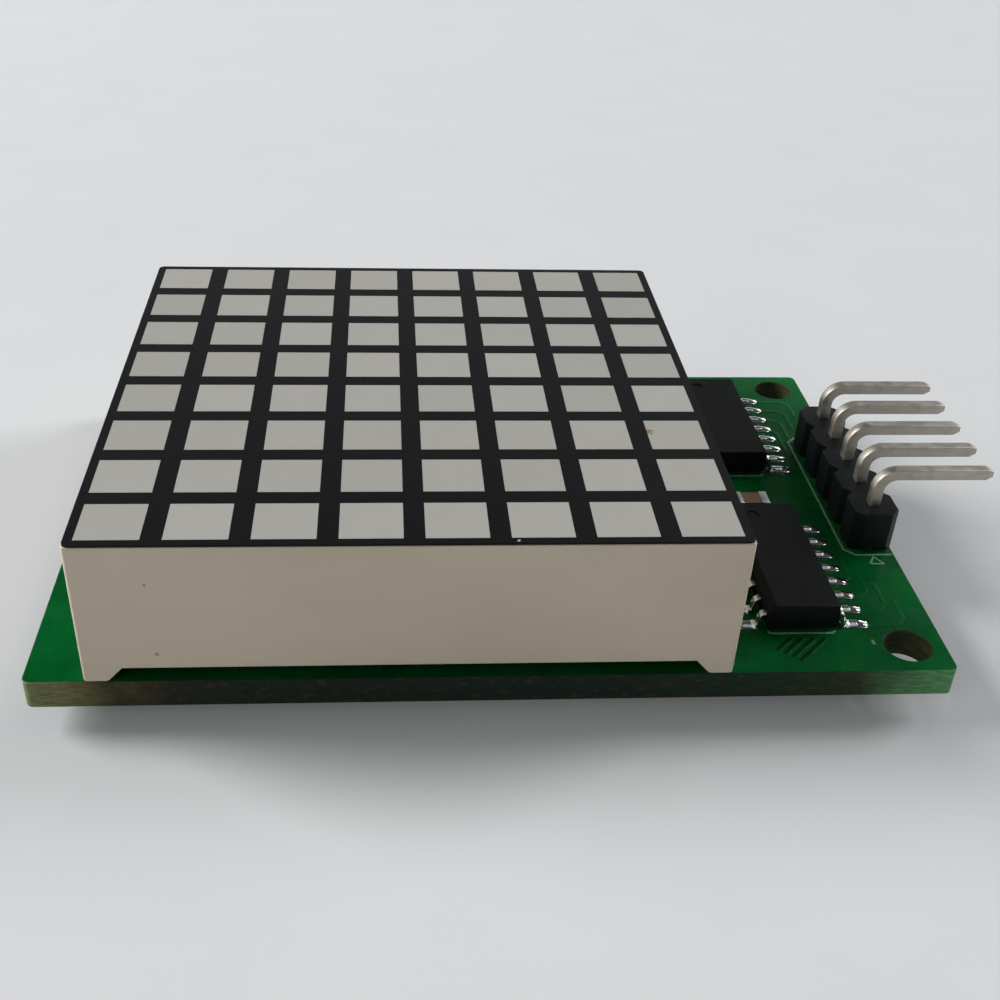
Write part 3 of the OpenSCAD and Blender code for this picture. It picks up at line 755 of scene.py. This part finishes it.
def make_tracks(look, sweep):
    front, front_ends = bus_lines(-1)
    rear, rear_ends = bus_lines(1)
    bend = {"Width": TRACK_WIDTH, "Thickness": TRACK_THICK, "Edge_Radius": 0.018 * MM, "Bend_Radius": 0.3 * MM}
    top = grown("top", sweep, drawn_line(*top_lines()), Middle=(0, 0, BOARD_TOP), Material=look["track"], **bend)
    # The slanted tracks are darker than the mask around them: painted shade in front of the front chip.
    corner = grown("corner", sweep, drawn_line(*corner_lines()), Middle=(0, 0, BOARD_TOP),
                   Material=look["track_mask_painted_shade"], **bend)
    under = grown("under", sweep, drawn_line(*front, *rear), Middle=(0, 0, BOARD_UNDER),
                  Material=look["track"], **bend)
    piece("top_tracks", outwards(top), [])
    piece("corner_tracks", outwards(corner), [])
    piece("under_tracks", outwards(under), [])
    vias = bmesh.new()
    template = via_form()
    for x, y in front_ends + rear_ends:
        for z, turn in ((BOARD_TOP, 0), (BOARD_UNDER, math.pi)):
            placed = template.copy()
            placed.transform(Matrix.Translation((x, y, z)) @ Matrix.Rotation(turn, 4, "X"))
            vias.from_mesh(placed)
            bpy.data.meshes.remove(placed)
    piece("vias", outwards(to_mesh(vias, "vias")), [look["track"]])


# ---- turned and blended forms -----------------------------------------------------------------------


def lathe(profile, steps, lobes=0.0):
    """Turns a profile of (radius, height) about Z into a closed mesh. Lobes pull it out four ways."""
    form = bmesh.new()
    rings = []
    for radius, height in profile:
        if radius == 0:
            rings.append([form.verts.new((0, 0, height))])
            continue
        ring = []
        for i in range(steps):
            angle = 2 * math.pi * i / steps
            reach = radius * (1 + lobes * math.cos(4 * angle))
            ring.append(form.verts.new((reach * math.cos(angle), reach * math.sin(angle), height)))
        rings.append(ring)
    for lower, upper in zip(rings, rings[1:]):
        for i in range(steps):
            corners = [lower[i % len(lower)], lower[(i + 1) % len(lower)],
                       upper[(i + 1) % len(upper)], upper[i % len(upper)]]
            distinct = list(dict.fromkeys(corners))
            if len(distinct) > 2:
                form.faces.new(distinct)
    return outwards(to_mesh(form, "turned"))


def pin_joint_form(pin_width, hole):
    """Solder in a pin's hole and the hollow-sided cone below it, from the board's underside."""
    barrel = hole / 2 - HOLE_PLATING
    base = 0.97 * (hole / 2 + RING_WIDTH - HOLE_PLATING)
    neck = pin_width * 0.62
    height = SOLDER_CONE - PAD_THICK
    depth = 0.94 * (BOARD_TOP - BOARD_UNDER)
    steps = 12
    profile = [(0, depth), (barrel, depth), (barrel, -PAD_THICK), (base, -PAD_THICK)]
    for i in range(1, steps + 1):
        angle = math.pi / 2 * i / steps
        profile.append((neck + (base - neck) * (1 - math.sin(angle)), -PAD_THICK - height * (1 - math.cos(angle))))
    profile += [(0.7 * neck, -PAD_THICK - 1.03 * height), (0, -PAD_THICK - 1.04 * height)]
    return lathe(profile, 32, 0.012)


def blended_pad(heel, toe, end, foot_half, pad_half, rise):
    """Solder around a lead's foot: it climbs the heel, fills the sides and runs out past the toe."""
    form = bmesh.new()
    long_steps, wide_steps = 20, 12
    film = 0.012 * MM

    def height(x, y):
        past_toe = max(0, x - toe) / (end - toe)
        past_heel = max(0, heel - x) / (0.2 * MM)
        body = foot_half * (1 - 0.45 * past_toe)
        beside = max(0, abs(y) - body) / (pad_half - body)
        crown = 1 - 0.35 * (y / pad_half) ** 2
        away = min(1, math.hypot(past_heel, beside))
        climb = 1 + 1.2 * max(0, 1 - (x - heel + 0.1 * MM) / (0.3 * MM)) ** 2
        return film + (climb * rise - film) * crown * (1 - away) ** 1.6 * (1 - past_toe ** 1.7)

    start = heel - 0.15 * MM
    grid = [[form.verts.new((x, y, height(x, y)))
             for y in [pad_half * (2 * j / wide_steps - 1) for j in range(wide_steps + 1)]]
            for x in [start + (end - start) * i / long_steps for i in range(long_steps + 1)]]
    for i in range(long_steps):
        for j in range(wide_steps):
            form.faces.new((grid[i][j], grid[i + 1][j], grid[i + 1][j + 1], grid[i][j + 1]))
    close_below(form)
    return outwards(to_mesh(form, "solder"))


def close_below(form, depth=0.0):
    """Closes an open sheet into a solid with a flat underside at that height."""
    rim = [edge for edge in form.edges if edge.is_boundary]
    made = bmesh.ops.extrude_edge_only(form, edges=rim)["geom"]
    lower = [item for item in made if isinstance(item, bmesh.types.BMVert)]
    for vert in lower:
        vert.co.z = depth
    bottom = [item for item in made if isinstance(item, bmesh.types.BMEdge) and all(v in lower for v in item.verts)]
    bmesh.ops.contextual_create(form, geom=bottom)


# ---- display ----------------------------------------------------------------------------------------

HOUSING_EDGE = 0.08 * MM
FACE_EDGE = 0.015 * MM
DOT_SKIN = 0.014 * MM
DOT_DISH = 0.006 * MM
DOT_GAP = 0.006 * MM


def make_housing(look):
    reach = (HOUSING_HIGH.x - HOUSING_LOW.x) / 2 - 0.25 * MM

    def outside(edge):
        offsets = [vert.co - DISPLAY for vert in edge.verts]
        return all(max(abs(offset.x), abs(offset.y)) > reach for offset in offsets)

    form = merged_copy("display_housing")
    soften(form, HOUSING_EDGE, outside, 3)
    piece("housing", to_mesh(form, "housing"), [look["housing"]], ["display_housing"])


def make_face(look):
    form = merged_copy("display_face")
    soften(form, FACE_EDGE, lambda edge: all(vert.co.z > FACE_HIGH.z - 0.001 * MM for vert in edge.verts), 2)
    piece("face_layer", to_mesh(form, "face_layer"), [look["face"]], ["display_face"])


def dot_form():
    """The skin of one dot, dished a little where the resin shrank."""
    form = bmesh.new()
    half = DOT_SIDE / 2 - DOT_GAP
    bmesh.ops.create_grid(form, x_segments=8, y_segments=8, size=half)
    for vert in form.verts:
        across, along = vert.co.x / half, vert.co.y / half
        vert.co.z = DOT_SKIN - DOT_DISH * (1 - across ** 4) * (1 - along ** 4)
    close_below(form, -0.01 * MM)
    return outwards(to_mesh(form, "dot"))


def make_dots(look, rows):
    mesh = grown("dots", rows, dot_form(), Count=DOTS, Step=(DOT_PITCH, 0, 0), Rows=DOTS,
                 Row_Step=(0, DOT_PITCH, 0), Middle=(DISPLAY.x, DISPLAY.y, RESIN_TOP), Seed=5,
                 Material=look["dot"])
    piece("dots", mesh, [])


def make_display_pins(look, sweep, rows):
    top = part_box("display_pin_1")[1].z
    line = drawn_line([(0, 0, 0, 0.6), (0, 0, 0.2 * MM, 1), (0, 0, top, 1)])
    layout = {"Count": DOTS, "Step": (DISPLAY_PIN_PITCH, 0, 0), "Rows": 2, "Row_Step": (0, DISPLAY_PIN_ROWS, 0)}
    mesh = grown("display_pins", sweep, line, Width=DISPLAY_PIN_WIDTH, Thickness=DISPLAY_PIN_WIDTH,
                 Edge_Radius=0.04 * MM, Middle=(DISPLAY.x, DISPLAY.y, 0), Material=look["display_pin"], **layout)
    nodes = [f"display_pin_{i}" for i in range(1, 2 * DOTS + 1)]
    piece("display_pins", outwards(mesh), [], nodes)
    joints = grown("display_joints", rows, pin_joint_form(DISPLAY_PIN_WIDTH, DISPLAY_PIN_HOLE),
                   Middle=(DISPLAY.x, DISPLAY.y, BOARD_UNDER), Size_Spread=0.03, Turn_Spread=math.pi,
                   Seed=11, Material=look["solder"], **layout)
    piece("display_joints", joints, [], ["display_solder"])


# ---- pin header -------------------------------------------------------------------------------------

HEADER_EDGE = 0.06 * MM


def make_header(look, sweep, rows):
    form = merged_copy("header_body")
    soften(form, HEADER_EDGE, lambda e: any(abs(v.co.x - HEADER.x) > 0.5 * MM for v in e.verts), 2)
    piece("header", to_mesh(form, "header"), [look["nylon"]], ["header_body"])
    low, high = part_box("header_pin_1")
    level = high.z - PIN_WIDTH / 2
    reach = high.x - low.x - PIN_WIDTH / 2
    tip = PIN_TIP / PIN_WIDTH
    line = drawn_line([
        (0, 0, 0, tip), (0, 0, PIN_TAPER, 1), (0, 0, level, 1),
        (reach - PIN_TAPER, 0, level, 1), (reach, 0, level, tip)])
    layout = {"Count": HEADER_PINS, "Step": (0, HEADER_PITCH, 0)}
    mesh = grown("header_pins", sweep, line, Width=PIN_WIDTH, Thickness=PIN_WIDTH, Edge_Radius=0.07 * MM,
                 Bend_Radius=PIN_BEND, Middle=(HEADER.x, HEADER.y, 0), Material=look["header_pin"], **layout)
    nodes = [f"header_pin_{i}" for i in range(1, HEADER_PINS + 1)]
    piece("header_pins", outwards(mesh), [], nodes)
    joints = grown("header_joints", rows, pin_joint_form(PIN_WIDTH, PIN_HOLE), Size_Spread=0.03,
                   Turn_Spread=math.pi, Seed=23, Middle=(HEADER.x, HEADER.y, BOARD_UNDER),
                   Material=look["solder"], **layout)
    piece("header_joints", joints, [], ["header_solder"])


# ---- chips, capacitor and resistors -------------------------------------------------------------------

CHIP_EDGE = 0.05 * MM


def make_chip_body(look, chip):
    def moulded(edge):
        at_parting = all(abs(vert.co.z - LEAD_LEVEL) < 0.01 * MM for vert in edge.verts)
        return edge.calc_length() > 0.6 * MM and not at_parting

    form = merged_copy(chip + "_chip_body")
    soften(form, CHIP_EDGE, moulded, 2)
    node = chip + "_chip_body"
    piece(chip + "_chip", to_mesh(form, node), [look["epoxy"]], [node])


def lead_line():
    """One lead's middle line, from inside the body out, down and along its foot."""
    foot = BOARD_TOP + PAD_THICK + LEAD_THICK / 2
    tangent = LEAD_BEND * math.tan((math.pi / 2 - LEAD_LEAN) / 2)
    ankle = LEAD_HALF_SPAN - LEAD_FOOT - tangent
    shoulder = ankle - (LEAD_LEVEL - foot) * math.tan(LEAD_LEAN)
    root = size_of("front_chip_body").x / 2 - LEAD_ROOT
    return drawn_line([(root, 0, LEAD_LEVEL), (shoulder, 0, LEAD_LEVEL), (ankle, 0, foot), (LEAD_HALF_SPAN, 0, foot)])


def make_leads(look, sweep, rows):
    layout = {"Count": LEADS, "Step": (0, LEAD_PITCH, 0), "Rows": 2, "Row_Turn": math.pi}
    solder = bmesh.new()
    for chip, middle in CHIPS.items():
        mesh = grown(chip, sweep, lead_line(), Width=LEAD_WIDTH, Thickness=LEAD_THICK, Edge_Radius=0.07 * MM,
                     Bend_Radius=LEAD_BEND, Middle=(middle.x, middle.y, 0), Material=look["lead"], **layout)
        piece(chip + "_leads", outwards(mesh), [], [chip + "_chip_leads"])
        pad = blended_pad(LEAD_HALF_SPAN - LEAD_FOOT, LEAD_HALF_SPAN, LEAD_HALF_SPAN + LEAD_PAD_OUT,
                          LEAD_WIDTH / 2, LEAD_PAD_WIDTH / 2, 0.98 * LEAD_THICK)
        joints = grown(chip, rows, pad, Middle=(middle.x, middle.y, BOARD_TOP + PAD_THICK),
                       Material=look["solder"], **layout)
        solder.from_mesh(joints)
        bpy.data.meshes.remove(joints)
    piece("lead_joints", to_mesh(solder, "lead_joints"), [look["solder"]], ["chip_solder"])


def make_small_parts(look):
    parts = [
        ("capacitor", "capacitor_body", "ceramic", "capacitor_ceramic", 0.05),
        ("capacitor_caps", "capacitor_ends", "end_cap", "end_cap", 0.05),
        ("resistor_caps", "resistor_ends", "end_cap", "end_cap", 0.02),
        ("small_joints", "small_part_solder", "solder", "solder", 0.02),
    ]
    parts += [(f"resistor_block_{i}", f"resistor_{i}", "glaze", "resistor_glaze", 0.03) for i in range(1, DOTS + 1)]
    for name, node, material, slot, width in parts:
        form = merged_copy(node)
        soften(form, width * MM)
        piece(name, to_mesh(form, name), [look[material]], [node])


def paint_kept_nodes(look):
    """Gives the CAD nodes that keep their own form their finish."""
    kept = {
        "top_pads": "pad", "top_rings": "pad", "bottom_pads": "pad", "display_resin": "casting",
        "led_substrate": "led_board", "led_dies": "crystal", "bond_wires": "gold",
    }
    for node, material in kept.items():
        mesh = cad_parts[node].data
        mesh.materials.clear()
        mesh.materials.append(look[material])


# ---- stage --------------------------------------------------------------------------------------------

FLOOR_HALF = 4
LAMP_DISTANCE = 1.1
# Each lamp's bearing from +X and its height, in degrees, then its width in metres and its watts.
LAMPS = {
    "key": (163, 31, 0.52, 12.5),
    "side": (20, 28, 0.48, 6.0),
    "front": (222, 30, 0.60, 1.7),
    "sparkle": (55, 9, 0.20, 0.35),
    "overhead": (50, 55, 0.26, 0.4),
}
SKY_COLOUR = (0.92, 0.96, 1.0, 1)
SKY_STRENGTH = 0.03
ZENITH_STRENGTH = 0.20
BACKDROP_STRENGTH = 0.62
BACKDROP_TOP = (0.26, 0.50)


def make_lamp(name, bearing, height, width, power):
    lamp = bpy.data.lights.new(name, "AREA")
    lamp.shape = "DISK"
    lamp.size = width
    lamp.energy = power
    made = bpy.data.objects.new(name, lamp)
    turn = Euler((0, math.radians(90 - height), math.radians(bearing)))
    made.location = turn.to_matrix() @ Vector((0, 0, LAMP_DISTANCE))
    made.rotation_euler = turn
    made.visible_camera = False
    bpy.context.scene.collection.objects.link(made)


def make_stage(look):
    mesh = bpy.data.meshes.new("floor")
    corners = [(x * FLOOR_HALF, y * FLOOR_HALF, 0) for x, y in ((-1, -1), (1, -1), (1, 1), (-1, 1))]
    mesh.from_pydata(corners, [], [(0, 1, 2, 3)])
    mesh.materials.append(look["floor"])
    floor = bpy.data.objects.new("floor", mesh)
    bpy.context.scene.collection.objects.link(floor)
    for name, settings in LAMPS.items():
        make_lamp(name, *settings)
    world = bpy.data.worlds.new("sky")
    world.use_nodes = True
    sky = world.node_tree
    direction = add(sky, "ShaderNodeTexCoord").outputs["Generated"]
    height = add(sky, "ShaderNodeSeparateXYZ", {"Vector": direction}).outputs["Z"]
    upward = add(sky, "ShaderNodeMath", {0: height, 1: 0.0}, operation="MAXIMUM").outputs[0]
    zenith = add(sky, "ShaderNodeMath", {0: upward, 1: 4.0}, operation="POWER").outputs[0]
    lit = add(sky, "ShaderNodeMath", {0: zenith, 1: ZENITH_STRENGTH, 2: SKY_STRENGTH}, operation="MULTIPLY_ADD")
    band = add(sky, "ShaderNodeMapRange", {
        "Value": height, "From Min": BACKDROP_TOP[1], "From Max": BACKDROP_TOP[0], "To Max": BACKDROP_STRENGTH})
    rays = add(sky, "ShaderNodeLightPath").outputs
    seen = add(sky, "ShaderNodeMath", {0: rays["Is Camera Ray"], 1: rays["Is Glossy Ray"]})
    seen = add(sky, "ShaderNodeMath", {0: seen.outputs[0], 1: rays["Is Transmission Ray"]})
    strength = add(sky, "ShaderNodeMath", {0: band.outputs[0], 1: seen.outputs[0], 2: lit.outputs[0]},
                   operation="MULTIPLY_ADD").outputs[0]
    background = sky.nodes["Background"]
    background.inputs["Color"].default_value = SKY_COLOUR
    sky.links.new(strength, background.inputs["Strength"])
    bpy.context.scene.world = world
    bpy.context.scene.view_settings.view_transform = "Standard"


# ---- the whole scene ------------------------------------------------------------------------------------

make_camera()
look = make_materials()
sweep = make_sweep_tree()
rows = make_row_tree()
make_board(look)
make_legend(look, sweep)
make_tracks(look, sweep)
make_housing(look)
make_face(look)
make_dots(look, rows)
make_display_pins(look, sweep, rows)
make_header(look, sweep, rows)
make_chip_body(look, "front")
make_chip_body(look, "rear")
make_leads(look, sweep, rows)
make_small_parts(look)
paint_kept_nodes(look)
make_stage(look)
